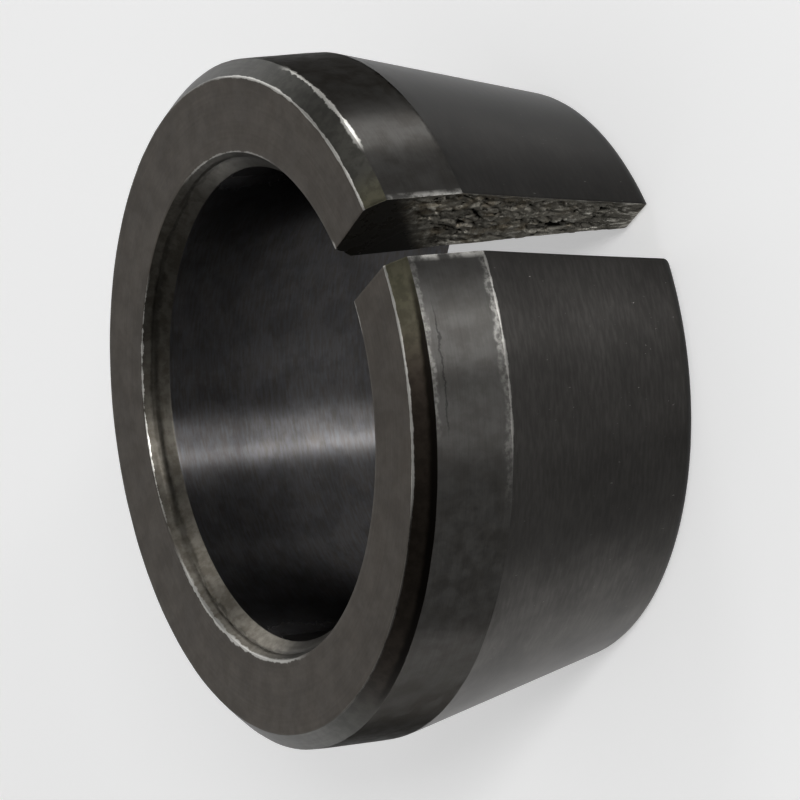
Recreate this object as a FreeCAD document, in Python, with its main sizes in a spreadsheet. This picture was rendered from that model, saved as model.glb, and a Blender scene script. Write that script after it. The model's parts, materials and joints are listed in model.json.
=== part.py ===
import FreeCAD, Part
import os
import Sketcher

# Split tapered ring that grips a round cutter shank in a router spindle.
#
# It is one turned piece of blackened hardened steel, slit through on one side.
# Z is the bore axis. The small end of the taper, the tail, stands on Z = 0
# and the wide flat face, the nose, looks up. The slit opens towards +X.
# The ring has sprung open a little, so the slit is wider outside and at the tail,
# and its middle leans off the bore axis by a tenth of a millimetre at the bore.
# Both walls of the slit are torn between two clean ends, with flakes that run along Z.

NODE = "collet_ring"

# Driving sizes: alias, value in millimetres (a plain ratio where it says so), meaning
SIZES = [
    ("bore_diameter", 12.7, "round bore that takes the cutter shank"),
    ("ring_length", 9.1, "overall length along the axis"),
    ("band_wall", 2.9, "wall from the bore to the straight band"),
    ("band_depth", 2.7, "from the nose down to the edge where the taper starts"),
    ("tail_wall", 1.29, "wall from the bore to the taper, at the tail"),
    ("tail_outer_round", 0.5, "rounding outside the tail"),
    ("tail_outer_limit", 0.5, "most of the tail wall that the outer rounding may take, a ratio"),
    ("tail_bore_round", 0.1, "rounding of the bore at the tail"),
    ("tail_bore_limit", 0.3, "most of the tail wall that the bore's rounding may take, a ratio"),
    ("nose_chamfer_width", 0.45, "outer chamfer of the nose, across the face"),
    ("nose_chamfer_depth", 0.49, "outer chamfer of the nose, along the axis"),
    ("entry_cone_width", 0.3, "long entry cone, across the wall"),
    ("entry_cone_depth", 0.38, "long entry cone, along the axis"),
    ("entry_lip_width", 0.14, "short steep cone at the nose, across the wall"),
    ("entry_lip_depth", 0.25, "short steep cone at the nose, along the axis"),
    ("slit_inner_width", 1.55, "slit at the nose, at the bore"),
    ("slit_outer_width", 1.69, "slit at the nose, at the band"),
    ("slit_tail_spread", 0.06, "how much wider the slit stands open at the tail"),
    ("slit_lean", 0.1, "how far the slit's middle lies towards +Y at the bore, where outside it lies at 0"),
    ("tear_nose_margin", 1.2, "clean stretch of the slit's walls below the nose"),
    ("tear_tail_margin", 0.9, "clean stretch of the slit's walls above the tail"),
    ("tear_middle", 0.45, "where the tear is deepest, from tail to nose, a ratio"),
    ("flake_depth", 0.15, "how deep the deepest flake bites into the wall"),
    ("flake_run", 0.42, "width of one flake across the wall"),
    ("flake_crest", 0.7, "where a flake is deepest across its width, a ratio"),
    ("flake_fade", 0.05, "how far the flakes stand clear of the wall where the tear runs out"),
    ("overrun", 0.3, "how far a cutting shape runs past the metal"),
]

# How deep each flake of the torn walls bites, as a share of the deepest, repeated across a wall
FLAKE_BITES = (0.3, 1.0, 0.55, 0.8, 0.25, 0.9, 0.45)

# How deep a flake starts, as a share of its own bite
FLAKE_TOE = 0.35

# Places and widths that several features share, as formulas of the sheet's sizes
BORE = "Sizes.bore_diameter / 2"
BAND = f"({BORE} + Sizes.band_wall)"
TOP = "Sizes.ring_length"
SLIT_SLOPE = "((Sizes.slit_outer_width - Sizes.slit_inner_width) / Sizes.band_wall)"


def make_sheet(doc):
    """Write the driving sizes into a spreadsheet, one to a row."""
    sheet = doc.addObject("Spreadsheet::Sheet", "Sizes")
    for row, (alias, value, meaning) in enumerate(SIZES, start=1):
        sheet.set(f"A{row}", meaning)
        sheet.set(f"B{row}", str(value))
        sheet.setAlias(f"B{row}", alias)
    doc.recompute()
    return sheet


def slit_wall(side, place, height, share="1", depth="0"):
    """Where a wall of the slit lies at a distance from the axis and a height.

    Side is 1 for the +Y wall and -1 for the other, share draws it towards the slit's middle
    and depth moves it into the metal.
    """
    across = f"({place} - {BORE})"
    rise = f"({height} / {TOP})"
    spread = f"Sizes.slit_tail_spread * (1 - {rise})"
    half = f"((Sizes.slit_inner_width + {spread} + {across} * {SLIT_SLOPE}) / 2)"
    per_wall = f"((1 - {rise}) / Sizes.tail_wall + {rise} / Sizes.band_wall)"
    middle = f"Sizes.slit_lean * (1 - {across} * {per_wall})"
    return f"{middle} + {side} * ({half} * {share} + {depth})"


def add_sketch(body, name, role, corners, height="0"):
    """Draw a closed outline through corners given as formulas, on an origin plane or above it."""
    sketch = body.newObject("Sketcher::SketchObject", name)
    plane = next(item for item in body.Origin.OriginFeatures if item.Role == role)
    sketch.AttachmentSupport = [(plane, "")]
    sketch.MapMode = "FlatFace"
    sketch.setExpression("AttachmentOffset.Base.z", height)
    values = [[float(sketch.evalExpression(formula)) for formula in corner] for corner in corners]
    count = len(corners)
    for index, start in enumerate(values):
        end = values[(index + 1) % count]
        sketch.addGeometry(Part.LineSegment(FreeCAD.Vector(*start, 0), FreeCAD.Vector(*end, 0)))
    for index in range(count):
        sketch.addConstraint(Sketcher.Constraint("Coincident", index, 2, (index + 1) % count, 1))
    for index, corner in enumerate(corners):
        for kind, zero_line, formula in zip(("DistanceX", "DistanceY"), (-2, -1), corner):
            if formula == "0":
                sketch.addConstraint(Sketcher.Constraint("PointOnObject", index, 1, zero_line))
                continue
            value = float(sketch.evalExpression(formula))
            number = sketch.addConstraint(Sketcher.Constraint(kind, -1, 1, index, 1, value))
            sketch.setExpression(f"Constraints[{number}]", formula)
    return sketch


def turn_ring(body):
    """Turn the section about Z: tail, taper, straight band, chamfer, nose and bore with its entry."""
    cone_mouth = f"{BORE} + Sizes.entry_cone_width"
    section = add_sketch(body, "ring_section", "XZ_Plane", [
        (BORE, "0"),
        (f"{BORE} + Sizes.tail_wall", "0"),
        (BAND, f"{TOP} - Sizes.band_depth"),
        (BAND, f"{TOP} - Sizes.nose_chamfer_depth"),
        (f"{BAND} - Sizes.nose_chamfer_width", TOP),
        (f"{cone_mouth} + Sizes.entry_lip_width", TOP),
        (cone_mouth, f"{TOP} - Sizes.entry_lip_depth"),
        (BORE, f"{TOP} - Sizes.entry_lip_depth - Sizes.entry_cone_depth"),
    ])
    ring = body.newObject("PartDesign::Revolution", "turned_ring")
    ring.Profile = section
    ring.ReferenceAxis = (section, ["V_Axis"])
    ring.Angle = 360
    return ring


def round_tail(body, before, name, edge_radius, rounding):
    """Round the circular edge of the tail that has the given radius."""
    body.Document.recompute()
    radius = float(before.evalExpression(edge_radius))
    near = 1e-4
    edges = []
    for number, edge in enumerate(before.Shape.Edges, start=1):
        if not isinstance(edge.Curve, Part.Circle):
            continue
        if abs(edge.Curve.Radius - radius) < near and abs(edge.Curve.Center.z) < near:
            edges.append(f"Edge{number}")
    if len(edges) != 1:
        raise RuntimeError(f"{name}: one edge expected, {len(edges)} found")
    fillet = body.newObject("PartDesign::Fillet", name)
    fillet.Base = (before, edges)
    fillet.setExpression("Radius", rounding)
    return fillet


def cut_between(body, name, sketches):
    """Cut away a straight-sided loft through the sketches."""
    cut = body.newObject("PartDesign::SubtractiveLoft", name)
    cut.Profile = sketches[0]
    cut.Sections = sketches[1:]
    cut.Ruled = True
    return cut


def cut_slit(body):
    """Cut the slit with clean walls: a wedge that widens outwards and towards the tail."""
    start = f"({BORE} - Sizes.overrun)"
    end = f"({BAND} + Sizes.overrun)"
    outlines = []
    for name, height in (("slit_at_tail", "0"), ("slit_at_nose", TOP)):
        corners = [
            (place, slit_wall(side, place, height))
            for side, place in ((-1, start), (-1, end), (1, end), (1, start))
        ]
        outlines.append(add_sketch(body, name, "XY_Plane", corners, height))
    return cut_between(body, "slit", outlines)


def cut_tear(body, name, side, first_bite):
    """Tear flakes out of one wall of the slit: side is 1 for the +Y wall and -1 for the other."""
    sheet = body.Document.Sizes
    wall_and_overrun = sheet.band_wall + 2 * sheet.overrun
    flakes = int(wall_and_overrun / sheet.flake_run) + 1
    start = f"({BORE} - Sizes.overrun)"
    tail_end = "Sizes.tear_tail_margin"
    nose_end = f"({TOP} - Sizes.tear_nose_margin)"
    middle = f"({tail_end} + ({nose_end} - {tail_end}) * Sizes.tear_middle)"
    clear = "-Sizes.flake_fade"
    outlines = []
    for label, height, torn in (
        ("tail", tail_end, False),
        ("middle", middle, True),
        ("nose", nose_end, False),
    ):
        corners = []
        for flake in range(flakes):
            bite = FLAKE_BITES[(flake + first_bite) % len(FLAKE_BITES)]
            for along, share in (("0", FLAKE_TOE), ("Sizes.flake_crest", 1.0)):
                place = f"({start} + Sizes.flake_run * ({flake} + {along}))"
                depth = f"Sizes.flake_depth * {bite * share:.3f}" if torn else clear
                corners.append((place, slit_wall(side, place, height, depth=depth)))
        for place in (corners[-1][0], start):
            corners.append((place, slit_wall(side, place, height, share="0.5")))
        outlines.append(add_sketch(body, f"{name}_{label}", "XY_Plane", corners, height))
    return cut_between(body, name, outlines)


def check(doc, steps):
    """Stop if a feature failed, or if one that should take metal away took none."""
    for item in doc.Objects:
        if "Invalid" in item.State or "Error" in item.State:
            raise RuntimeError(f"{item.Name} failed: {item.State}")
    for before, after in zip(steps, steps[1:]):
        if after.Shape.isNull() or not after.Shape.isValid():
            raise RuntimeError(f"{after.Name} has no valid shape")
        if after.Shape.Volume >= before.Shape.Volume:
            raise RuntimeError(f"{after.Name} took no metal away")


doc = FreeCAD.newDocument("router_collet")
make_sheet(doc)
body = doc.addObject("PartDesign::Body", NODE)
body.Label = NODE
steps = [turn_ring(body)]
steps.append(round_tail(
    body, steps[-1], "tail_outer_rounding", f"{BORE} + Sizes.tail_wall",
    "min(Sizes.tail_outer_round; Sizes.tail_wall * Sizes.tail_outer_limit)",
))
steps.append(round_tail(
    body, steps[-1], "tail_bore_rounding", BORE,
    "min(Sizes.tail_bore_round; Sizes.tail_wall * Sizes.tail_bore_limit)",
))
steps.append(cut_slit(body))
steps.append(cut_tear(body, "tear_upper", 1, 0))
steps.append(cut_tear(body, "tear_lower", -1, 3))
doc.recompute()
check(doc, steps)
if len(body.Shape.Solids) != 1:
    raise RuntimeError("the ring is not one solid")
os.makedirs("parts", exist_ok=True)
body.Shape.exportStep(f"parts/{body.Label}.step")
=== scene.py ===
import json
import math

import bmesh
import bpy
from bpy.props import FloatProperty, FloatVectorProperty, IntProperty, PointerProperty
from mathutils import Matrix, Vector, noise


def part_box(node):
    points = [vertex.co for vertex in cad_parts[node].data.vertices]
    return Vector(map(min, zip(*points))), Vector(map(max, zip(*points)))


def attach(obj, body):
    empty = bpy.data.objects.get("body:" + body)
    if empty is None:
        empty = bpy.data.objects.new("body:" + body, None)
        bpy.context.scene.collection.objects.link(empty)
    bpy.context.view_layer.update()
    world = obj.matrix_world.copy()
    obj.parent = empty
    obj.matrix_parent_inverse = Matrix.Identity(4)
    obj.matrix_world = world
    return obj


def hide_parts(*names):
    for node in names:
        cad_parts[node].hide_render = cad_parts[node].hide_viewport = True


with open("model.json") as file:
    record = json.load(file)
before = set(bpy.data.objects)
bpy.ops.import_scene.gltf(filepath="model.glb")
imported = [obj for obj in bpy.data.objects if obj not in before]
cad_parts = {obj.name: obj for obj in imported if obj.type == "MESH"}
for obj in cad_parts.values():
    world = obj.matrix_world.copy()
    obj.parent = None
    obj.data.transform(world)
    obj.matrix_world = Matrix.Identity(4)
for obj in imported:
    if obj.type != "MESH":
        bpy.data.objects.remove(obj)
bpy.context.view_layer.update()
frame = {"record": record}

bl_info = {
    "name": "Split taper collet",
    "version": (1, 0, 0),
    "blender": (4, 5, 0),
    "location": "View3D > Sidebar > Collet",
    "description": "Builds a blackened split taper ring and the plain studio it stands in",
    "category": "Object",
}

MM = 0.001
NODE = "collet_ring"
BODY = "root"

# Where the solid ring stands, and the bore that its record states
RING_LOW, RING_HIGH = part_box(NODE)
BORE_MOUNT = next(mount for mount in frame["record"]["mounts"] if mount["name"] == "shank_bore")

# Zones of the ring's surface, in the order of its material slots
NOSE, CHAMFER, BAND, TAPER, TAIL, BORE, ENTRY, TORN = range(8)

# Vertex attributes: how deep the torn walls are, and where the slit's walls end, each from 0 to 1
TORN_ATTRIBUTE = "torn_depth"
RIM_ATTRIBUTE = "slit_rim"

# Half the angle that the plain sweep leaves open for the slit
SWEEP_MARGIN = math.radians(5.0)

# Flakes of the torn walls: pitch across the wall and along it, and share of the tear's depth
FLAKES = ((0.5 * MM, 1.5 * MM, 0.5), (0.26 * MM, 0.8 * MM, 0.3))

# Studio, in metres: side of the floor, and how far every light hangs from the ring
FLOOR_SIZE = 4.0
LIGHT_DISTANCE = 0.5

# Each light's name, azimuth from the slit and elevation in degrees, width and height in metres, and watts
SOFTBOXES = (
    ("front_slot", -6.0, 10.0, 0.035, 0.14, 0.42),
    ("front_low", -8.0, 9.0, 0.28, 0.13, 0.36),
    ("front_strip", -8.0, 0.5, 0.22, 0.007, 0.5),
    ("front_high", -15.0, 30.0, 0.09, 0.14, 0.87),
    ("front_wide", -38.0, 0.5, 0.18, 0.007, 0.42),
    ("front_left", -48.0, 32.0, 0.12, 0.12, 0.08),
    ("side_strip", 61.0, 0.5, 0.12, 0.007, 0.8),
    ("side_high", 56.0, 38.0, 0.15, 0.15, 0.14),
    ("back_box", 110.0, 15.0, 0.32, 0.2, 0.24),
    ("nose_box", 155.0, 27.0, 0.24, 0.24, 0.11),
    ("rear_box", 191.0, 11.0, 0.15, 0.15, 0.09),
    ("rear_strip", 230.0, 0.5, 0.38, 0.007, 0.8),
)

# Width of the camera's frame in millimetres
FRAME_WIDTH = 36.0


def length_property(label, description, millimetres):
    """A length that the user may change, given in millimetres."""
    return FloatProperty(
        name=label, description=description, default=millimetres * MM, unit="LENGTH", subtype="DISTANCE"
    )


def angle_property(label, description, degrees):
    """An angle that the user may change, given in degrees."""
    return FloatProperty(name=label, description=description, default=math.radians(degrees), subtype="ANGLE")


def colour_property(label, description, colour):
    """A linear colour that the user may change."""
    return FloatVectorProperty(
        name=label, description=description, default=colour, size=3, subtype="COLOR", min=0.0, max=1.0
    )


class ColletSizes(bpy.types.PropertyGroup):
    """Sizes of the ring's section and slit, as the solid has them, and of the mesh."""

    bore_radius: length_property("Bore radius", "Radius of the straight bore", BORE_MOUNT["dims"]["r_mm"])
    band_radius: length_property("Band radius", "Radius of the straight band", RING_HIGH.y / MM)
    ring_length: length_property("Length", "Overall length along the axis", (RING_HIGH.z - RING_LOW.z) / MM)
    band_depth: length_property("Band depth", "From the nose to the start of the taper", 2.7)
    tail_wall: length_property("Tail wall", "Wall from the bore to the taper, at the tail", 1.29)
    tail_outer_round: length_property("Tail outer rounding", "Rounding outside the tail", 0.5)
    tail_bore_round: length_property("Tail bore rounding", "Rounding of the bore at the tail", 0.1)
    nose_chamfer_width: length_property("Chamfer width", "Outer chamfer across the nose", 0.45)
    nose_chamfer_depth: length_property("Chamfer depth", "Outer chamfer along the axis", 0.49)
    entry_cone_width: length_property("Entry cone width", "Long entry cone across the wall", 0.3)
    entry_cone_depth: length_property("Entry cone depth", "Long entry cone along the axis", 0.38)
    entry_lip_width: length_property("Entry lip width", "Short steep cone across the wall", 0.14)
    entry_lip_depth: length_property("Entry lip depth", "Short steep cone along the axis", 0.25)
    groove_place: length_property("Groove place", "Tool groove in the entry, below the nose", 0.29)
    groove_depth: length_property("Groove depth", "How deep that groove is", 0.05)
    groove_width: length_property("Groove width", "Half the groove's width along the axis", 0.05)
    slit_inner_width: length_property("Slit at the bore", "Slit width at the nose and the bore", 1.55)
    slit_outer_width: length_property("Slit at the band", "Slit width at the nose and the band", 1.69)
    slit_tail_spread: length_property("Slit spread", "How much wider the slit is at the tail", 0.06)
    slit_lean: length_property("Slit lean", "How far the slit's middle leans over at the bore", 0.1)
    tear_nose_margin: length_property("Tear below nose", "Clean wall between the nose and the tear", 1.5)
    tear_tail_margin: length_property("Tear above tail", "Clean wall between the tail and the tear", 0.4)
    tear_slant: FloatProperty(
        name="Tear slant",
        description="How far the tear starts nearer the nose for each length across the wall",
        default=0.6,
    )
    tear_fade: length_property("Tear fade", "How far the tear takes to reach its depth", 1.0)
    flake_depth: length_property("Flake depth", "How deep the torn flakes bite", 0.22)
    tail_corner: length_property("Slit corner rounding", "Rounding of the slit's walls at the tail", 0.3)
    edge_break: length_property("Edge break", "How far each sharp edge is broken", 0.03)
    edge_wander: length_property("Edge wander", "How far worn edges stray from a true circle", 0.012)
    row_pitch: length_property("Row pitch", "Spacing of the mesh along the axis", 0.135)
    fine_pitch: length_property("Fine row pitch", "Spacing of the mesh beside the nose", 0.045)
    columns: IntProperty(name="Columns", description="Cells of mesh across the wall", default=20, min=4)
    stations: IntProperty(name="Stations", description="Cells of mesh round the ring", default=270, min=32)


class ColletFinish(bpy.types.PropertyGroup):
    """Colours of the blackened steel, and of the bare steel where it has worn through."""

    nose_dark: colour_property("Nose, dark", "Darker blotches of the nose", (0.058, 0.0482, 0.0380))
    nose_light: colour_property("Nose, light", "Lighter blotches of the nose", (0.070, 0.0582, 0.0458))
    chamfer_grey: colour_property("Chamfer grey", "Grey oxide of the chamfer", (0.044, 0.043, 0.038))
    chamfer_olive: colour_property("Chamfer olive", "Olive oxide beside the slit", (0.092, 0.087, 0.060))
    # Chamfer brown is brown oxide darkened by painted shade; chamfer black is a rim of painted shade beside
    # the band
    chamfer_brown_shade: colour_property("Chamfer brown", "Brown oxide on one side", (0.022, 0.0178, 0.0142))
    chamfer_black_shade: colour_property("Chamfer black", "Black rim beside the band", (0.005, 0.0042, 0.0034))
    band_dark: colour_property("Band, dark", "Darker blotches of the band", (0.042, 0.0400, 0.0372))
    band_light: colour_property("Band, light", "Lighter blotches of the band", (0.053, 0.0515, 0.0488))
    taper_dark: colour_property("Taper, dark", "Darker flecks of the taper", (0.027, 0.0256, 0.0240))
    taper_light: colour_property("Taper, light", "Lighter flecks of the taper", (0.035, 0.0333, 0.0312))
    bore_dark: colour_property("Bore, dark", "Darker marks of the bore", (0.062, 0.0570, 0.0530))
    bore_light: colour_property("Bore, light", "Lighter marks of the bore", (0.077, 0.0775, 0.0830))
    entry_dark: colour_property("Entry, dark", "Darker spots of the entry", (0.052, 0.0470, 0.0385))
    entry_light: colour_property("Entry, light", "Lighter spots of the entry", (0.082, 0.0765, 0.0655))
    # Tear, deep is also the painted shade of the cracks; Tear, high is the painted glint of the crests and
    # the burr along the walls' rims
    torn_black_and_shade: colour_property("Tear, deep", "Cracks and hollows of the torn walls", (0.003, 0.0025, 0.0018))
    torn_plain: colour_property("Tear, plain", "Faces of the torn flakes", (0.175, 0.166, 0.142))
    torn_stain: colour_property("Tear, stained", "Brown stains of the torn flakes", (0.13, 0.105, 0.068))
    torn_glint_and_burr: colour_property("Tear, high", "Crests of the torn flakes", (0.60, 0.58, 0.52))
    bare: colour_property("Bare steel", "Steel where the oxide has worn away", (0.50, 0.49, 0.46))


class ColletStudio(bpy.types.PropertyGroup):
    """Camera of the studio."""

    view_azimuth: angle_property("Azimuth", "Direction of the camera from the slit", -26.785)
    view_elevation: angle_property("Elevation", "Height of the camera over the nose's plane", 27.686)
    view_roll: angle_property("Roll", "Turn of the camera about its own axis", 96.213)
    view_distance: length_property("Distance", "From the camera to its aim", 191.916)
    view_aim: FloatVectorProperty(
        name="Aim", description="Point that the camera looks at",
        default=(-0.405 * MM, -0.069 * MM, 4.575 * MM), subtype="TRANSLATION", unit="LENGTH", size=3,
    )
    lens: FloatProperty(name="Lens", description="Focal length, in millimetres", default=320.74)


def smooth(low, high, value):
    """Ease from 0 at low to 1 at high."""
    share = min(max((value - low) / (high - low), 0.0), 1.0)
    return share * share * (3.0 - 2.0 * share)


def taper_slope(sizes):
    """How far the taper's radius grows for each length along the axis."""
    rise = sizes.ring_length - sizes.band_depth
    return (sizes.band_radius - sizes.bore_radius - sizes.tail_wall) / rise


def outer_radius(sizes, height):
    """Radius of the ring's outside: rounded tail, taper, band and chamfer."""
    slope = taper_slope(sizes)
    tail_radius = sizes.bore_radius + sizes.tail_wall
    rounding = sizes.tail_outer_round
    slant = math.hypot(1.0, slope)
    if height < rounding * (1.0 - slope / slant):
        centre = tail_radius + slope * rounding - rounding * slant
        return centre + math.sqrt(rounding ** 2 - (rounding - height) ** 2)
    chamfer_slope = sizes.nose_chamfer_width / sizes.nose_chamfer_depth
    chamfer_foot = sizes.ring_length - sizes.nose_chamfer_depth
    return min(
        tail_radius + slope * height,
        sizes.band_radius,
        sizes.band_radius - chamfer_slope * (height - chamfer_foot),
    )


def inner_radius(sizes, height):
    """Radius of the ring's inside: rounded tail, straight bore and the two entry cones."""
    rounding = sizes.tail_bore_round
    if height < rounding:
        return sizes.bore_radius + rounding - math.sqrt(rounding ** 2 - (rounding - height) ** 2)
    lip_foot = sizes.ring_length - sizes.entry_lip_depth
    cone_foot = lip_foot - sizes.entry_cone_depth
    cone = max(0.0, min(1.0, (height - cone_foot) / sizes.entry_cone_depth))
    lip = max(0.0, (height - lip_foot) / sizes.entry_lip_depth)
    return sizes.bore_radius + cone * sizes.entry_cone_width + lip * sizes.entry_lip_width


def row_heights(sizes):
    """Heights of the mesh's rows: every corner of the section, with even rows between them."""
    top = sizes.ring_length
    rounding_top = sizes.tail_outer_round
    rounding_rows = 8
    heights = [
        rounding_top * (1.0 - math.cos(math.pi / 2 * row / rounding_rows)) for row in range(rounding_rows)
    ]
    entry_foot = top - sizes.entry_lip_depth - sizes.entry_cone_depth
    marks = [
        rounding_top,
        top - sizes.band_depth,
        entry_foot,
        top - sizes.nose_chamfer_depth,
        top - sizes.entry_lip_depth,
        top,
    ]
    for low, high in zip(marks, marks[1:]):
        pitch = sizes.fine_pitch if high > entry_foot else sizes.row_pitch
        count = max(1, round((high - low) / pitch))
        heights += [low + (high - low) * row / count for row in range(count)]
    return heights + [top]


def polar(co):
    """Radius and angle of a point about the bore axis, the angle from 0 to a full turn."""
    return math.hypot(co.x, co.y), math.atan2(co.y, co.x) % math.tau


def set_polar(vert, radius, angle):
    """Move a vertex to a radius and angle at its own height."""
    vert.co.x = radius * math.cos(angle)
    vert.co.y = radius * math.sin(angle)


def add_section(bm, sizes):
    """Lay a grid over the ring's section, at the slit."""
    heights = row_heights(sizes)
    rows = len(heights) - 1
    grid = bmesh.ops.create_grid(bm, x_segments=sizes.columns, y_segments=rows, size=1.0)
    for vert in grid["verts"]:
        across = (vert.co.x + 1.0) / 2.0
        height = heights[round((vert.co.y + 1.0) / 2.0 * rows)]
        inside = inner_radius(sizes, height)
        radius = inside + across * (outer_radius(sizes, height) - inside)
        vert.co = Vector((radius * math.cos(SWEEP_MARGIN), radius * math.sin(SWEEP_MARGIN), height))


def sweep_section(bm, sizes):
    """Sweep the section's outline round the axis and close the far end with a copy of the section."""
    sweep = math.tau - 2.0 * SWEEP_MARGIN
    rim = [edge for edge in bm.edges if edge.is_boundary]
    rim_verts = list({vert for edge in rim for vert in edge.verts})
    copy = bmesh.ops.duplicate(bm, geom=bm.faces[:])
    turned = [item for item in copy["geom"] if isinstance(item, bmesh.types.BMVert)]
    bmesh.ops.rotate(bm, cent=(0, 0, 0), matrix=Matrix.Rotation(sweep, 3, "Z"), verts=turned)
    bmesh.ops.spin(
        bm, geom=rim_verts + rim, cent=(0, 0, 0), axis=(0, 0, 1), dvec=(0, 0, 0), angle=sweep,
        steps=sizes.stations, use_merge=False, use_normal_flip=False, use_duplicate=False,
    )
    bmesh.ops.remove_doubles(bm, verts=bm.verts[:], dist=0.001 * MM)
    bmesh.ops.recalc_face_normals(bm, faces=bm.faces[:])


def crowd_stations(bm):
    """Draw the mesh closer together beside the slit, where its torn edges need more of it."""
    crowding = 0.55
    sweep = math.tau - 2.0 * SWEEP_MARGIN
    for vert in bm.verts:
        radius, angle = polar(vert.co)
        turn = (angle - SWEEP_MARGIN) / sweep
        turn -= crowding * math.sin(math.tau * turn) / math.tau
        set_polar(vert, radius, SWEEP_MARGIN + turn * sweep)


def zone_of(sizes, face):
    """Tell which zone of the ring a face belongs to."""
    centre = face.calc_center_median()
    outward = face.normal.dot(Vector((centre.x, centre.y, 0.0)).normalized())
    around = face.normal.dot(Vector((-centre.y, centre.x, 0.0)).normalized())
    top = sizes.ring_length
    if abs(around) > 0.9:
        return TORN
    if abs(face.normal.z) > 0.99:
        return NOSE if face.normal.z > 0.0 else TAIL
    if outward < 0.0:
        return BORE if centre.z < top - sizes.entry_lip_depth - sizes.entry_cone_depth else ENTRY
    if centre.z > top - sizes.nose_chamfer_depth:
        return CHAMFER
    return BAND if centre.z > top - sizes.band_depth else TAPER


def break_edges(bm, sizes):
    """Break every edge where two zones meet at an angle."""
    least_angle = math.radians(8.0)
    sharp = [
        edge for edge in bm.edges
        if len(edge.link_faces) == 2
        and edge.link_faces[0].material_index != edge.link_faces[1].material_index
        and edge.calc_face_angle(0.0) > least_angle
    ]
    bmesh.ops.bevel(
        bm, geom=sharp, offset=sizes.edge_break, offset_type="OFFSET", segments=2, profile=0.5,
        affect="EDGES", material=-1, clamp_overlap=True,
    )


def mark_rims(bm):
    """Note the vertices beside the edges of the slit's walls, easing off away from the slit."""
    reach = 0.2 * MM
    layer = bm.verts.layers.float.new(RIM_ATTRIBUTE)
    for vert in bm.verts:
        if {face.material_index for face in vert.link_faces} == {TORN}:
            continue
        radius, angle = polar(vert.co)
        off = radius * (min(angle, math.tau - angle) - SWEEP_MARGIN)
        vert[layer] = 1.0 - smooth(0.0, reach, off)


def refine_walls(bm):
    """Divide the cells of the slit's walls in three."""
    edges = list({edge for face in bm.faces if face.material_index == TORN for edge in face.edges})
    bmesh.ops.subdivide_edges(bm, edges=edges, cuts=2, use_grid_fill=True)


def cut_groove(bm, sizes):
    """Press the tool groove into the bore's entry, a little wavy all round."""
    nearest, furthest = 0.05 * MM, 0.6 * MM
    on_wall = 0.02 * MM
    for vert in bm.verts:
        radius, angle = polar(vert.co)
        below = sizes.ring_length - vert.co.z
        if not nearest < below < furthest or radius - inner_radius(sizes, vert.co.z) > on_wall:
            continue
        place = Vector((math.cos(angle) * 5.0, math.sin(angle) * 5.0, 2.0))
        middle = sizes.groove_place + 0.035 * MM * noise.fractal(place, 1.0, 2.0, 3)
        depth = sizes.groove_depth * (0.75 + 0.6 * noise.noise(place * 0.6))
        off = (below - middle) / sizes.groove_width
        set_polar(vert, radius + depth * math.exp(-off * off), angle)


def wander_edges(bm, sizes):
    """Let the turned edges stray a little from true circles, inwards only."""
    reach = 0.25 * MM
    edges = (
        (outer_radius(sizes, sizes.ring_length), sizes.ring_length, 1.0),
        (sizes.band_radius, sizes.ring_length - sizes.nose_chamfer_depth, 1.0),
        (sizes.band_radius, sizes.ring_length - sizes.band_depth, 1.4),
    )
    for vert in bm.verts:
        radius, angle = polar(vert.co)
        place = Vector((math.cos(angle), math.sin(angle), 0.0)) * 9.0
        for number, (edge_radius, edge_height, share) in enumerate(edges):
            off = math.hypot(radius - edge_radius, vert.co.z - edge_height)
            if off > reach:
                continue
            wave = noise.fractal(place + Vector((0.0, 0.0, number * 4.0)), 0.8, 2.1, 5)
            inwards = sizes.edge_wander * share * max(0.0, 0.4 + wave) * (1.0 - smooth(0.0, reach, off))
            set_polar(vert, radius - inwards, angle)


def tear_depth(sizes, across, wall, height, seed):
    """How deep the torn wall lies below its plane, as a share: big and small flakes under fine grit."""
    foot = sizes.tear_tail_margin
    head = sizes.ring_length - sizes.tear_nose_margin + sizes.tear_slant * (across - wall / 2.0)
    torn = smooth(foot, foot + sizes.tear_fade, height)
    torn *= 1.0 - smooth(head - sizes.tear_fade, head, height)
    if torn == 0.0:
        return 0.0
    torn *= 0.25 + 0.75 * smooth(0.0, 0.25 * MM, across)
    torn *= smooth(0.0, 0.3 * MM, wall - across)
    # Even the smoothest part of the tear lies a little below the clean wall
    total = 0.12
    for across_pitch, along_pitch, share in FLAKES:
        place = Vector((across / across_pitch, height / along_pitch, seed))
        bend = noise.fractal(place * 0.7, 0.8, 2.1, 3)
        place += Vector((0.8 * bend, 0.5 * bend, 0.0))
        distances, points = noise.voronoi(place)
        level = 0.5 + 0.5 * noise.noise(points[0] * 3.7)
        tilt = max(-0.5, min(0.5, place.x - points[0].x))
        crack = 1.0 - smooth(0.0, 0.14, distances[1] - distances[0])
        crack *= smooth(-0.1, 0.25, noise.noise(points[0] * 5.1 + points[1]))
        total += share * (0.9 * level + 0.8 * tilt + 1.3 * crack)
    grit = noise.fractal(Vector((across / MM * 8.0, height / MM * 2.6, seed + 7.0)), 0.7, 2.0, 4)
    return torn * max(0.0, total + 0.16 * grit)


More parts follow.
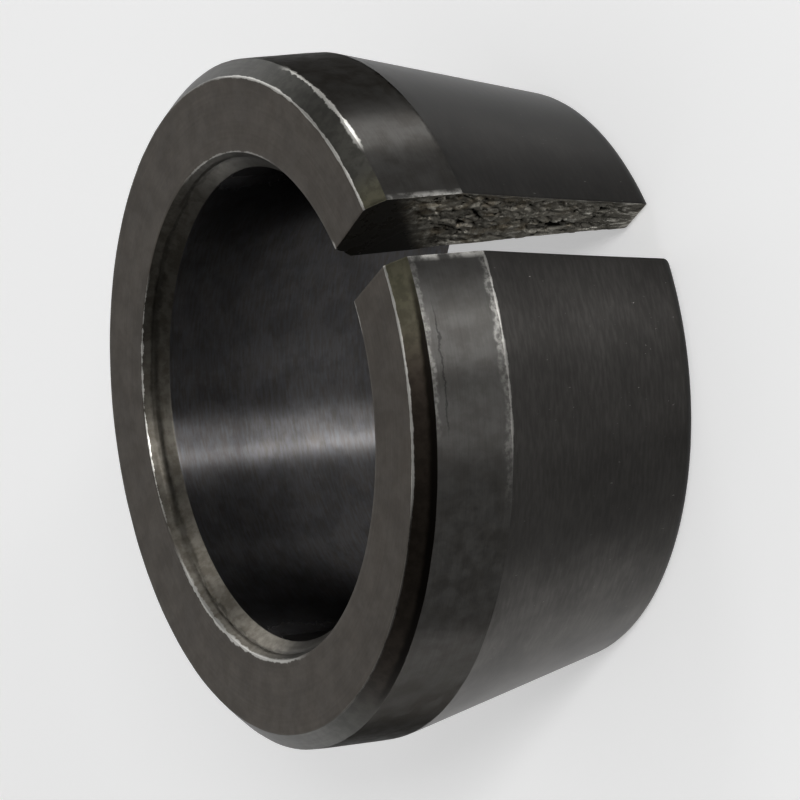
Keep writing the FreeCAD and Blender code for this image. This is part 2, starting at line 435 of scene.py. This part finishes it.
def open_slit(bm, sizes):
    """Move the ends of the sweep to the slit's own walls, and tear them."""
    layer = bm.verts.layers.float.new(TORN_ATTRIBUTE)
    band_wall = sizes.band_radius - sizes.bore_radius
    opening = (sizes.slit_outer_width - sizes.slit_inner_width) / band_wall
    far_reach = math.radians(30.0)
    near_reach = math.radians(4.0)
    for vert in bm.verts:
        radius, angle = polar(vert.co)
        upper = angle < math.pi
        swept = angle if upper else math.tau - angle
        if swept > SWEEP_MARGIN + far_reach:
            continue
        across = radius - sizes.bore_radius
        wall = outer_radius(sizes, vert.co.z) - sizes.bore_radius
        spread = sizes.slit_tail_spread * (1.0 - vert.co.z / sizes.ring_length)
        half = (sizes.slit_inner_width + opening * across + spread) / 2.0
        rise = vert.co.z / sizes.ring_length
        lean = 1.0 - across * ((1.0 - rise) / sizes.tail_wall + rise / band_wall)
        middle = sizes.slit_lean * (lean if upper else -lean)
        shift = math.asin((half + middle) / radius) - SWEEP_MARGIN
        torn = tear_depth(sizes, across, wall, vert.co.z, 3.0 if upper else 11.0)
        if swept < SWEEP_MARGIN + near_reach:
            vert[layer] = torn
        torn *= sizes.flake_depth / radius
        left = max(0.0, sizes.tail_corner - vert.co.z)
        shift += (sizes.tail_corner - math.sqrt(sizes.tail_corner ** 2 - left ** 2)) / radius
        swept += torn * (1.0 - smooth(SWEEP_MARGIN, SWEEP_MARGIN + near_reach, swept))
        swept += shift * (1.0 - smooth(SWEEP_MARGIN, SWEEP_MARGIN + far_reach, swept))
        set_polar(vert, radius, swept if upper else math.tau - swept)


def ring_object(sizes):
    """Make the ring's mesh and its object."""
    bm = bmesh.new()
    add_section(bm, sizes)
    sweep_section(bm, sizes)
    crowd_stations(bm)
    for face in bm.faces:
        face.material_index = zone_of(sizes, face)
    break_edges(bm, sizes)
    mark_rims(bm)
    refine_walls(bm)
    cut_groove(bm, sizes)
    wander_edges(bm, sizes)
    open_slit(bm, sizes)
    bmesh.ops.recalc_face_normals(bm, faces=bm.faces[:])
    for face in bm.faces:
        face.smooth = True
    mesh = bpy.data.meshes.new("collet_skin")
    bm.to_mesh(mesh)
    bm.free()
    ring = bpy.data.objects.new("collet_skin", mesh)
    bpy.context.scene.collection.objects.link(ring)
    return ring


def add_node(tree, kind, inputs=None, **settings):
    """Add a shader node, set its options and feed its inputs with sockets or plain values."""
    node = tree.nodes.new(kind)
    for key, value in settings.items():
        setattr(node, key, value)
    for key, value in (inputs or {}).items():
        if isinstance(value, bpy.types.NodeSocket):
            tree.links.new(value, node.inputs[key])
        else:
            node.inputs[key].default_value = value
    return node


def maths(tree, operation, *values, clamp=False):
    """A math node's result."""
    node = add_node(tree, "ShaderNodeMath", dict(enumerate(values)), operation=operation, use_clamp=clamp)
    return node.outputs[0]


def ease(tree, value, low, high, from_value=0.0, to_value=1.0):
    """Ease a value from from_value at low to to_value at high."""
    node = add_node(
        tree, "ShaderNodeMapRange", {0: value, 1: low, 2: high, 3: from_value, 4: to_value},
        interpolation_type="SMOOTHSTEP",
    )
    return node.outputs[0]


def between(tree, mask, least, most):
    """Ease from least to most as a mask goes from 0 to 1."""
    return ease(tree, mask, 0.0, 1.0, least, most)


def blend(tree, share, first, second):
    """Mix two colours."""
    node = add_node(tree, "ShaderNodeMix", {0: share, 6: first, 7: second}, data_type="RGBA")
    return node.outputs[2]


def scaled(tree, colour, factor):
    """A colour made darker or lighter by a factor."""
    return add_node(tree, "ShaderNodeVectorMath", {0: colour, "Scale": factor}, operation="SCALE").outputs[0]


def noise_at(tree, vector, scale, detail, roughness):
    """Noise between 0 and 1."""
    inputs = {"Vector": vector, "Scale": scale, "Detail": detail, "Roughness": roughness}
    return add_node(tree, "ShaderNodeTexNoise", inputs).outputs[0]


def new_group(name, inputs, outputs):
    """Start a shader node group with named inputs and outputs, all of them values."""
    tree = bpy.data.node_groups.new(name, "ShaderNodeTree")
    for label, default in inputs:
        socket = tree.interface.new_socket(label, in_out="INPUT", socket_type="NodeSocketFloat")
        socket.default_value = default
    for label in outputs:
        tree.interface.new_socket(label, in_out="OUTPUT", socket_type="NodeSocketFloat")
    return tree, tree.nodes.new("NodeGroupInput").outputs, tree.nodes.new("NodeGroupOutput").inputs


def use_group(tree, group, inputs=None):
    """Place a node group, feed its inputs and return its outputs."""
    return add_node(tree, "ShaderNodeGroup", node_tree=group, inputs=inputs).outputs


def place_group():
    """Where a point lies on the ring: radius and height in millimetres, and its angle's cosine and sine."""
    tree, _, result = new_group("ring_place", [], ["Radius", "Height", "Cosine", "Sine"])
    spot = add_node(tree, "ShaderNodeTexCoord").outputs["Object"]
    split = add_node(tree, "ShaderNodeSeparateXYZ", {0: spot}).outputs
    x_mm = maths(tree, "DIVIDE", split[0], MM)
    y_mm = maths(tree, "DIVIDE", split[1], MM)
    squares = maths(tree, "MULTIPLY_ADD", x_mm, x_mm, maths(tree, "MULTIPLY", y_mm, y_mm))
    radius = maths(tree, "SQRT", squares)
    tree.links.new(radius, result["Radius"])
    tree.links.new(maths(tree, "DIVIDE", split[2], MM), result["Height"])
    tree.links.new(maths(tree, "DIVIDE", x_mm, radius), result["Cosine"])
    tree.links.new(maths(tree, "DIVIDE", y_mm, radius), result["Sine"])
    return tree


def arc_group(place):
    """1 around an azimuth of the ring, easing to 0 a spread away from it, both in degrees."""
    tree, given, result = new_group("ring_arc", [("Azimuth", 0.0), ("Spread", 30.0)], ["Share"])
    spot = use_group(tree, place)
    azimuth = maths(tree, "RADIANS", given["Azimuth"])
    along_sine = maths(tree, "MULTIPLY", spot["Sine"], maths(tree, "SINE", azimuth))
    towards = maths(tree, "MULTIPLY_ADD", spot["Cosine"], maths(tree, "COSINE", azimuth), along_sine)
    spread = maths(tree, "RADIANS", given["Spread"])
    limit = maths(tree, "COSINE", spread)
    full = maths(tree, "COSINE", maths(tree, "MULTIPLY", spread, 0.55))
    tree.links.new(ease(tree, towards, limit, full), result["Share"])
    return tree


def marks_group(place):
    """Fine tool marks that run round the ring, Pitch apart along Across and Run long, in millimetres."""
    tree, given, result = new_group(
        "tool_marks", [("Across", 0.0), ("Pitch", 0.05), ("Run", 1.0), ("Seed", 0.0)], ["Marks"]
    )
    spot = use_group(tree, place)
    turns = maths(tree, "DIVIDE", spot["Radius"], given["Run"])
    vector = add_node(tree, "ShaderNodeCombineXYZ", {
        0: maths(tree, "MULTIPLY", spot["Cosine"], turns),
        1: maths(tree, "MULTIPLY_ADD", spot["Sine"], turns, given["Seed"]),
        2: maths(tree, "DIVIDE", given["Across"], given["Pitch"]),
    }).outputs[0]
    tree.links.new(noise_at(tree, vector, 1.0, 3.0, 0.6), result["Marks"])
    return tree


def mottle_group():
    """Soft blotches over the surface, of a size in millimetres."""
    tree, given, result = new_group("mottle", [("Size", 1.0), ("Seed", 0.0)], ["Mottle"])
    spot = add_node(tree, "ShaderNodeTexCoord").outputs["Object"]
    scale = maths(tree, "DIVIDE", 1.0 / MM, given["Size"])
    inputs = {0: spot, 1: scale, 2: given["Seed"]}
    vector = add_node(tree, "ShaderNodeVectorMath", inputs, operation="MULTIPLY_ADD").outputs[0]
    tree.links.new(noise_at(tree, vector, 1.0, 5.0, 0.6), result["Mottle"])
    return tree


def edge_group(place):
    """Bare steel along one turned edge, ragged and broken, all lengths in millimetres."""
    tree, given, result = new_group(
        "edge_wear",
        [("Edge Radius", 8.8), ("Edge Height", 9.05), ("Width", 0.06), ("Ragged", 1.0), ("Seed", 0.0)],
        ["Wear"],
    )
    spot = use_group(tree, place)
    off_radius = maths(tree, "SUBTRACT", spot["Radius"], given["Edge Radius"])
    off_height = maths(tree, "SUBTRACT", spot["Height"], given["Edge Height"])
    squares = maths(tree, "MULTIPLY", off_height, off_height)
    squares = maths(tree, "MULTIPLY_ADD", off_radius, off_radius, squares)
    vector = add_node(tree, "ShaderNodeCombineXYZ", {
        0: maths(tree, "MULTIPLY", spot["Cosine"], 9.0),
        1: maths(tree, "MULTIPLY", spot["Sine"], 9.0),
        2: given["Seed"],
    }).outputs[0]
    chips = noise_at(tree, vector, 1.7, 6.0, 0.7)
    swing = maths(tree, "MULTIPLY", maths(tree, "SUBTRACT", chips, 0.5), given["Ragged"])
    reach = maths(tree, "MULTIPLY", given["Width"], maths(tree, "MULTIPLY_ADD", swing, 4.0, 1.0))
    off = maths(tree, "DIVIDE", maths(tree, "SQRT", squares), maths(tree, "MAXIMUM", reach, 0.001))
    tree.links.new(ease(tree, off, 1.0, 0.5), result["Wear"])
    return tree


def worn_group(sizes, edge, arc):
    """Bare steel along the ring's edges, over the arcs where each has rubbed."""
    tree, _, result = new_group("worn_edges", [], ["Wear"])
    top = sizes.ring_length / MM
    band = sizes.band_radius / MM
    mouth = inner_radius(sizes, sizes.ring_length) / MM
    corner = outer_radius(sizes, sizes.ring_length) / MM
    chamfer_foot = top - sizes.nose_chamfer_depth / MM
    band_foot = top - sizes.band_depth / MM
    # Each edge's radius, height, width and raggedness, its strength elsewhere, and its arcs' azimuth,
    # spread and strength
    edges = (
        (corner, top, 0.055, 0.8, 0.03, ((34, 34, 0.9), (5, 10, 0.4), (-27, 24, 0.85), (-9, 6, 0.5))),
        (corner, top, 0.03, 2.0, 0.0, ((80, 40, 0.35), (-70, 30, 0.12))),
        (mouth, top, 0.032, 2.2, 0.0, ((150, 34, 1.0), (64, 26, 0.45), (-9, 5, 0.7))),
        (mouth, top, 0.075, 1.2, 0.0, ((-140, 38, 1.0), (6, 4, 0.6))),
        (band, chamfer_foot, 0.075, 1.6, 0.0, ((31, 16, 0.9),)),
        (band, band_foot, 0.05, 1.2, 0.0, ((-11, 12, 0.3), (-24, 18, 0.2))),
    )
    total = 0.0
    for seed, (radius, height, width, ragged, strength, arcs) in enumerate(edges):
        wear = use_group(tree, edge, {
            "Edge Radius": radius, "Edge Height": height,
            "Width": width, "Ragged": ragged, "Seed": seed * 3.0,
        })["Wear"]
        for azimuth, spread, share in arcs:
            here = use_group(tree, arc, {"Azimuth": azimuth, "Spread": spread})["Share"]
            strength = maths(tree, "MULTIPLY_ADD", here, share, strength)
        total = maths(tree, "MULTIPLY_ADD", wear, strength, total)
    tree.links.new(maths(tree, "MINIMUM", total, 1.0), result["Wear"])
    return tree


class FinishKit:
    """What every finish is made from: the ring's sizes, the user's colours and the node groups."""

    def __init__(self, sizes, colours):
        self.sizes = sizes
        self.colours = colours
        self.place = place_group()
        self.arc = arc_group(self.place)
        self.marks = marks_group(self.place)
        self.mottle = mottle_group()
        self.worn = worn_group(sizes, edge_group(self.place), self.arc)


class Finish:
    """One material in the making."""

    def __init__(self, name, kit, metallic, anisotropy, edge_tint=1.0):
        self.kit = kit
        self.material = bpy.data.materials.new(name)
        self.material.use_nodes = True
        self.tree = self.material.node_tree
        self.metallic = metallic
        self.shader = self.tree.nodes["Principled BSDF"]
        self.shader.inputs["Specular IOR Level"].default_value = 0.2
        self.shader.inputs["Specular Tint"].default_value = (edge_tint, edge_tint, edge_tint, 1.0)
        self.shader.inputs["Anisotropic"].default_value = anisotropy
        # A quarter turn lays the broad side of each highlight across the tool marks
        self.shader.inputs["Anisotropic Rotation"].default_value = 0.25
        self.spot = use_group(self.tree, kit.place)

    def colour(self, name):
        """One of the user's colours, as a node takes it."""
        return (*getattr(self.kit.colours, name), 1.0)

    def tones(self, share, first, second):
        """Mix two of the user's colours."""
        return blend(self.tree, share, self.colour(first), self.colour(second))

    def vertex(self, attribute):
        """A value that the mesh holds at its vertices."""
        return add_node(self.tree, "ShaderNodeAttribute", attribute_name=attribute).outputs["Fac"]

    def mottle(self, size, seed, low=0.35, high=0.65):
        """Blotches of a size in millimetres, with their contrast drawn out."""
        raw = use_group(self.tree, self.kit.mottle, {"Size": size, "Seed": seed})["Mottle"]
        return ease(self.tree, raw, low, high)

    def marks(self, across, pitch, run, seed):
        """Tool marks that follow one another along the ring's Height or Radius."""
        inputs = {"Across": self.spot[across], "Pitch": pitch, "Run": run, "Seed": seed}
        return use_group(self.tree, self.kit.marks, inputs)["Marks"]

    def arc(self, azimuth, spread):
        """1 around an azimuth, easing to 0 a spread away, in degrees."""
        return use_group(self.tree, self.kit.arc, {"Azimuth": azimuth, "Spread": spread})["Share"]

    def strip(self, height, full, none):
        """1 at the height called full, easing to 0 at the height called none."""
        return ease(self.tree, height, none, full)

    def close(self, colour, roughness, height, bump_mm, rim_wear=0.0):
        """Wear the oxide through along the edges, feed the shader and return the material."""
        tree = self.tree
        wear = use_group(tree, self.kit.worn)["Wear"]
        if rim_wear:
            patches = between(tree, self.mottle(size=0.5, seed=11.0), 0.1, rim_wear)
            rim = maths(tree, "MULTIPLY", self.vertex(RIM_ATTRIBUTE), patches, clamp=True)
            wear = maths(tree, "MAXIMUM", wear, rim)
        bump = add_node(tree, "ShaderNodeBump", {"Height": height, "Distance": bump_mm * MM})
        metallic = maths(tree, "MULTIPLY_ADD", wear, 1.0 - self.metallic, self.metallic)
        polish = -0.08
        tree.links.new(blend(tree, wear, colour, self.colour("bare")), self.shader.inputs["Base Color"])
        tree.links.new(maths(tree, "MULTIPLY_ADD", wear, polish, roughness), self.shader.inputs["Roughness"])
        tree.links.new(metallic, self.shader.inputs["Metallic"])
        tree.links.new(bump.outputs[0], self.shader.inputs["Normal"])
        return self.material


def nose_finish(kit):
    """Warm grey oxide on the nose, with faint facing marks."""
    finish = Finish("nose_finish", kit, metallic=0.73, anisotropy=0.2)
    tree = finish.tree
    marks = finish.marks("Radius", pitch=0.07, run=3.0, seed=1.0)
    colour = finish.tones(finish.mottle(size=1.5, seed=3.0), "nose_dark", "nose_light")
    colour = scaled(tree, colour, ease(tree, marks, 0.2, 0.8, 0.9, 1.1))
    colour = scaled(tree, colour, between(tree, finish.mottle(size=0.16, seed=5.0), 0.95, 1.05))
    roughness = between(tree, finish.mottle(size=0.7, seed=8.0), 0.39, 0.45)
    return finish.close(colour, roughness, marks, bump_mm=0.002)


def chamfer_finish(kit):
    """Grey oxide on the chamfer, olive by the slit, brown oxide darkened by painted shade over one side, and
    a black rim of painted shade beside the band there.
    """
    finish = Finish("chamfer_finish", kit, metallic=1.0, anisotropy=0.7)
    tree = finish.tree
    foot = (kit.sizes.ring_length - kit.sizes.nose_chamfer_depth) / MM
    # Painted shade over one side of the chamfer, darkening its brown oxide
    shaded_side = finish.arc(-52.0, 46.0)
    colour = finish.tones(finish.arc(-8.0, 21.0), "chamfer_grey", "chamfer_olive")
    colour = blend(tree, shaded_side, colour, finish.colour("chamfer_brown_shade"))
    colour = scaled(tree, colour, between(tree, finish.mottle(size=0.3, seed=9.0), 0.85, 1.15))
    # The black rim of painted shade is widest where the painted shade of the brown side is darkest
    ragged = maths(tree, "MULTIPLY_ADD", finish.mottle(size=0.4, seed=5.0), 0.02, finish.spot["Height"])
    rim_reach = maths(tree, "MULTIPLY_ADD", shaded_side, 0.08, foot + 0.075)
    rim = ease(tree, maths(tree, "SUBTRACT", ragged, rim_reach), 0.06, -0.05)
    rim = maths(tree, "MULTIPLY", rim, finish.arc(-48.0, 48.0))
    colour = blend(tree, rim, colour, finish.colour("chamfer_black_shade"))
    marks = finish.marks("Height", pitch=0.05, run=1.5, seed=4.0)
    roughness = maths(tree, "MULTIPLY_ADD", marks, 0.1, 0.36)
    return finish.close(colour, roughness, marks, bump_mm=0.002)


def band_finish(kit):
    """Grey mottled oxide on the band, rubbed pale beside both of its edges next to the slit's lower wall."""
    finish = Finish("band_finish", kit, metallic=1.0, anisotropy=1.0, edge_tint=0.35)
    tree = finish.tree
    top = kit.sizes.ring_length / MM
    foot = top - kit.sizes.band_depth / MM
    head = top - kit.sizes.nose_chamfer_depth / MM
    swing = finish.mottle(size=0.5, seed=6.0, low=0.2, high=0.8)
    ragged = maths(tree, "MULTIPLY_ADD", swing, 0.2, finish.spot["Height"])
    # Rubbed strips beside the taper and beside the chamfer
    pressed = maths(tree, "MULTIPLY", finish.arc(-26.0, 24.0), 0.25)
    pressed = maths(tree, "MULTIPLY_ADD", finish.arc(-11.0, 13.0), 0.3, pressed)
    foot_rim = maths(tree, "MULTIPLY", finish.strip(ragged, foot + 0.24, foot + 0.36), pressed)
    head_rim = finish.strip(ragged, head + 0.02, head - 0.07)
    head_rim = maths(tree, "MULTIPLY", head_rim, finish.arc(-19.0, 18.0))
    speckle = between(tree, finish.mottle(size=0.14, seed=2.0, low=0.3, high=0.7), 0.05, 0.5)
    rubbed = maths(tree, "MULTIPLY", speckle, maths(tree, "MULTIPLY_ADD", head_rim, 0.3, foot_rim))
    # A thin dark score below the chamfer, and a dark strip beside the taper past the slit's upper wall
    score = maths(tree, "ABSOLUTE", maths(tree, "SUBTRACT", ragged, head - 0.28))
    score = maths(tree, "MULTIPLY", ease(tree, score, 0.036, 0.01), finish.arc(-24.0, 12.0))
    dark_strip = maths(tree, "MULTIPLY", finish.strip(ragged, foot + 0.1, foot + 0.2), finish.arc(50.0, 50.0))
    dark = maths(tree, "MAXIMUM", score, dark_strip)
    marks = finish.marks("Height", pitch=0.05, run=1.2, seed=7.0)
    colour = finish.tones(finish.mottle(size=0.55, seed=1.0), "band_dark", "band_light")
    colour = scaled(tree, colour, ease(tree, marks, 0.2, 0.8, 0.93, 1.07))
    colour = blend(tree, rubbed, colour, finish.colour("bare"))
    colour = scaled(tree, colour, maths(tree, "MULTIPLY_ADD", dark, -0.42, 1.0))
    roughness = between(tree, finish.mottle(size=0.3, seed=4.0), 0.33, 0.4)
    return finish.close(colour, roughness, marks, bump_mm=0.002, rim_wear=1.1)


def taper_finish(kit, name, across):
    """Charcoal oxide on the taper or the tail, with short flecks round it and a few pale scratches."""
    finish = Finish(name, kit, metallic=1.0, anisotropy=0.9)
    tree = finish.tree
    flecks = finish.marks(across, pitch=0.09, run=0.5, seed=2.0)
    colour = finish.tones(ease(tree, flecks, 0.35, 0.7), "taper_dark", "taper_light")
    # Painted light and shade: paler and cloudier on one side of the slit as a painted sheen, darker on the
    # other as painted shade
    pale = finish.arc(-88.0, 34.0)
    cloud = finish.mottle(size=1.9, seed=7.0, low=0.3, high=0.7)
    cloud = maths(tree, "MULTIPLY_ADD", cloud, maths(tree, "MULTIPLY_ADD", pale, 0.7, 0.25), 0.88)
    colour = scaled(tree, colour, maths(tree, "MULTIPLY_ADD", pale, 0.65, cloud))
    colour = scaled(tree, colour, maths(tree, "MULTIPLY_ADD", finish.arc(38.0, 45.0), -0.38, 1.0))
    if across == "Height":
        # Painted shade: dark on the tail's rounding
        colour = scaled(tree, colour, ease(tree, finish.spot["Height"], 0.12, 0.45, 0.45, 1.0))
    scratches = finish.marks(across, pitch=0.3, run=0.07, seed=12.0)
    scratches = ease(tree, scratches, 0.71, 0.81, 0.0, 0.5)
    colour = blend(tree, scratches, colour, finish.colour("bare"))
    roughness = maths(tree, "MULTIPLY_ADD", flecks, 0.06, 0.37)
    return finish.close(colour, roughness, flecks, bump_mm=0.001)


def bore_finish(kit):
    """Dark, smoother steel in the bore, with fine boring marks, and painted light that makes it paler away
    from its entry.
    """
    finish = Finish("bore_finish", kit, metallic=1.0, anisotropy=1.0, edge_tint=0.25)
    tree = finish.tree
    marks = finish.marks("Height", pitch=0.07, run=0.45, seed=5.0)
    colour = finish.tones(ease(tree, marks, 0.25, 0.75), "bore_dark", "bore_light")
    colour = scaled(tree, colour, between(tree, finish.mottle(size=0.9, seed=4.0), 0.88, 1.12))
    # Painted light: paler away from the entry, towards the tail
    colour = scaled(tree, colour, ease(tree, finish.spot["Height"], 7.5, 4.0, 0.9, 1.6))
    roughness = ease(tree, marks, 0.25, 0.75, 0.33, 0.355)
    return finish.close(colour, roughness, marks, bump_mm=0.0004)


def entry_finish(kit):
    """Brown oxide on the bore's entry, black in its groove, painted shade over one side and a painted
    highlight below it.
    """
    finish = Finish("entry_finish", kit, metallic=1.0, anisotropy=0.6)
    tree = finish.tree
    groove = (kit.sizes.ring_length - kit.sizes.groove_place) / MM
    # Painted shade over one side, which also widens and darkens the groove's black line there
    shade = finish.arc(150.0, 50.0)
    # A painted highlight, up to 3.2 times paler, over one arc
    rubbed = finish.arc(-152.0, 38.0)
    wavy = maths(tree, "MULTIPLY_ADD", finish.mottle(size=0.6, seed=2.5), 0.08, finish.spot["Height"])
    off = maths(tree, "ABSOLUTE", maths(tree, "SUBTRACT", wavy, groove + 0.04))
    reach = maths(tree, "MULTIPLY_ADD", shade, 0.085, 0.045)
    dark = maths(tree, "MULTIPLY_ADD", shade, 0.05, 0.4)
    dark = maths(tree, "MULTIPLY", dark, ease(tree, maths(tree, "DIVIDE", off, reach), 1.0, 0.3))
    colour = finish.tones(finish.mottle(size=0.3, seed=6.0), "entry_dark", "entry_light")
    colour = scaled(tree, colour, maths(tree, "MULTIPLY_ADD", shade, -0.15, 1.0))
    colour = scaled(tree, colour, maths(tree, "MULTIPLY_ADD", rubbed, 2.2, 1.0))
    colour = blend(tree, dark, colour, finish.colour("torn_black_and_shade"))
    marks = finish.marks("Height", pitch=0.05, run=1.0, seed=3.0)
    roughness = maths(tree, "MULTIPLY_ADD", marks, 0.15, 0.33)
    return finish.close(colour, roughness, marks, bump_mm=0.003)


def torn_finish(kit):
    """Torn steel on the slit's walls: cracks of painted shade, crests of painted glints, painted shade
    towards the tail and a smooth black stretch by the nose.
    """
    finish = Finish("torn_finish", kit, metallic=0.8, anisotropy=0.0, edge_tint=0.3)
    tree = finish.tree
    depth = finish.vertex(TORN_ATTRIBUTE)
    rim = finish.vertex(RIM_ATTRIBUTE)
    # The tear shows from a slanted line across the wall, and in full an onset below it, in millimetres
    onset = 1.1
    slant = kit.sizes.tear_slant
    middle_radius = (kit.sizes.bore_radius + kit.sizes.band_radius) / (2.0 * MM)
    line = (kit.sizes.ring_length - kit.sizes.tear_nose_margin) / MM - slant * middle_radius
    slanted = maths(tree, "MULTIPLY_ADD", finish.spot["Radius"], -slant, finish.spot["Height"])
    torn = ease(tree, slanted, line, line - onset)
    # Streaks run along the axis
    grain = add_node(tree, "ShaderNodeCombineXYZ", {
        0: maths(tree, "MULTIPLY", finish.spot["Radius"], 5.5),
        1: finish.spot["Sine"],
        2: maths(tree, "MULTIPLY", finish.spot["Height"], 1.9),
    }).outputs[0]
    streaks = noise_at(tree, grain, 1.0, 5.0, 0.7)
    # Painted glints on the shallow crests
    high = ease(tree, depth, 0.62, 0.2)
    crest_glint = maths(tree, "MULTIPLY", ease(tree, streaks, 0.5, 0.6), high)
    crest_glint = maths(tree, "MULTIPLY", crest_glint, maths(tree, "MULTIPLY", torn, 0.7))
    # Painted shade in the cracks and deep hollows
    crack = maths(tree, "MAXIMUM", ease(tree, depth, 0.6, 1.0), ease(tree, streaks, 0.42, 0.35))
    plain = maths(tree, "MULTIPLY_ADD", torn, 0.84, 0.16)
    stain = maths(tree, "MULTIPLY", finish.mottle(size=0.6, seed=14.0, low=0.5, high=0.65), 0.6)
    colour = finish.tones(stain, "torn_plain", "torn_stain")
    # Painted shade: darker towards the tail, paler towards the nose
    colour = scaled(tree, colour, ease(tree, finish.spot["Height"], 0.8, 3.4, 0.62, 1.15))
    colour = blend(tree, plain, finish.colour("torn_black_and_shade"), colour)
    colour = blend(tree, crest_glint, colour, finish.colour("torn_glint_and_burr"))
    colour = blend(tree, maths(tree, "MULTIPLY", crack, torn), colour, finish.colour("torn_black_and_shade"))
    # A pale burr along the walls' rims
    colour = blend(tree, maths(tree, "MULTIPLY", rim, 0.4), colour, finish.colour("torn_glint_and_burr"))
    grit = finish.mottle(size=0.12, seed=6.0, low=0.3, high=0.7)
    roughness = maths(tree, "MULTIPLY_ADD", grit, 0.12, 0.34)
    height = maths(tree, "MULTIPLY", maths(tree, "MULTIPLY_ADD", grit, 0.4, streaks), torn)
    return finish.close(colour, roughness, height, bump_mm=0.03)


class ColletRing(bpy.types.Operator):
    """Build the blackened ring"""

    bl_idname = "collet.build_ring"
    bl_label = "Build ring"

    def execute(self, context):
        sizes = context.scene.collet_sizes
        ring = ring_object(sizes)
        kit = FinishKit(sizes, context.scene.collet_finish)
        zones = {
            NOSE: nose_finish(kit),
            CHAMFER: chamfer_finish(kit),
            BAND: band_finish(kit),
            TAPER: taper_finish(kit, "taper_finish", "Height"),
            TAIL: taper_finish(kit, "tail_finish", "Radius"),
            BORE: bore_finish(kit),
            ENTRY: entry_finish(kit),
            TORN: torn_finish(kit),
        }
        for zone in sorted(zones):
            ring.data.materials.append(zones[zone])
        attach(ring, BODY)
        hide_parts(NODE)
        return {"FINISHED"}


def direction(azimuth, elevation):
    """Unit vector towards an azimuth from the slit and an elevation over the floor."""
    flat = math.cos(elevation)
    return Vector((flat * math.cos(azimuth), flat * math.sin(azimuth), math.sin(elevation)))


def add_camera(studio):
    """Put the camera where the photograph was taken from."""
    towards = direction(studio.view_azimuth, studio.view_elevation)
    aim = Vector(studio.view_aim)
    turn = (-towards).to_track_quat("-Z", "Y").to_matrix() @ Matrix.Rotation(-studio.view_roll, 3, "Z")
    camera = bpy.data.objects.new("camera", bpy.data.cameras.new("camera"))
    bpy.context.scene.collection.objects.link(camera)
    camera.matrix_world = Matrix.Translation(aim + studio.view_distance * towards) @ turn.to_4x4()
    camera.data.lens = studio.lens
    camera.data.sensor_width = FRAME_WIDTH
    camera.data.clip_start = 0.01
    bpy.context.scene.camera = camera


def add_softbox(name, azimuth, elevation, width, height, power):
    """Hang a soft area light that faces the ring, its azimuth and elevation in degrees."""
    towards = direction(math.radians(azimuth), math.radians(elevation))
    light = bpy.data.lights.new(name, "AREA")
    light.shape = "RECTANGLE"
    light.size = width
    light.size_y = height
    light.energy = power
    box = bpy.data.objects.new(name, light)
    box.location = LIGHT_DISTANCE * towards
    box.rotation_euler = (-towards).to_track_quat("-Z", "Y").to_euler()
    bpy.context.scene.collection.objects.link(box)


def seen_mask(tree):
    """1 for rays that show the background itself: from the camera, off metal or through glass."""
    path = add_node(tree, "ShaderNodeLightPath").outputs
    mask = maths(tree, "ADD", path["Is Camera Ray"], path["Is Glossy Ray"], clamp=True)
    return maths(tree, "ADD", mask, path["Is Transmission Ray"], clamp=True)


def floor_material():
    """A pale matt floor that lifts itself to white where it is seen."""
    material = bpy.data.materials.new("floor_white")
    material.use_nodes = True
    tree = material.node_tree
    shader = tree.nodes["Principled BSDF"]
    shader.inputs["Base Color"].default_value = (0.8, 0.8, 0.8, 1.0)
    shader.inputs["Roughness"].default_value = 1.0
    shader.inputs["Specular IOR Level"].default_value = 0.0
    shader.inputs["Emission Color"].default_value = (1.0, 1.0, 1.0, 1.0)
    tree.links.new(maths(tree, "MULTIPLY", seen_mask(tree), 0.4), shader.inputs["Emission Strength"])
    return material


def set_world(scene):
    """A studio that is white along the horizon and dim overhead."""
    world = bpy.data.worlds.new("studio")
    scene.world = world
    world.use_nodes = True
    tree = world.node_tree
    background = tree.nodes["Background"]
    background.inputs["Color"].default_value = (1.0, 1.0, 1.0, 1.0)
    way = add_node(tree, "ShaderNodeTexCoord").outputs["Generated"]
    height = add_node(tree, "ShaderNodeSeparateXYZ", {0: way}).outputs[2]
    low, high = 0.15, 0.26
    at_horizon, overhead = 0.5, 0.22
    tree.links.new(ease(tree, height, low, high, at_horizon, overhead), background.inputs["Strength"])


class ColletStage(bpy.types.Operator):
    """Lay the floor, hang the lights and set the camera"""

    bl_idname = "collet.set_stage"
    bl_label = "Set stage"

    def execute(self, context):
        scene = context.scene
        scene.view_settings.view_transform = "Standard"
        bpy.ops.mesh.primitive_plane_add(size=FLOOR_SIZE)
        floor = context.object
        floor.name = "floor"
        floor.data.materials.append(floor_material())
        set_world(scene)
        for softbox in SOFTBOXES:
            add_softbox(*softbox)
        add_camera(scene.collet_studio)
        return {"FINISHED"}


class ColletPanel(bpy.types.Panel):
    """Lists the collet's operators"""

    bl_idname = "VIEW3D_PT_collet"
    bl_label = "Collet"
    bl_space_type = "VIEW_3D"
    bl_region_type = "UI"
    bl_category = "Collet"

    def draw(self, context):
        for operator in OPERATORS:
            self.layout.operator(operator.bl_idname)


OPERATORS = (ColletRing, ColletStage)
CLASSES = (ColletSizes, ColletFinish, ColletStudio, *OPERATORS, ColletPanel)


def register():
    for cls in CLASSES:
        bpy.utils.register_class(cls)
    bpy.types.Scene.collet_sizes = PointerProperty(type=ColletSizes)
    bpy.types.Scene.collet_finish = PointerProperty(type=ColletFinish)
    bpy.types.Scene.collet_studio = PointerProperty(type=ColletStudio)


def unregister():
    del bpy.types.Scene.collet_studio
    del bpy.types.Scene.collet_finish
    del bpy.types.Scene.collet_sizes
    for cls in reversed(CLASSES):
        bpy.utils.unregister_class(cls)


def main():
    register()
    bpy.ops.collet.build_ring()
    bpy.ops.collet.set_stage()


if __name__ == "__main__":
    main()
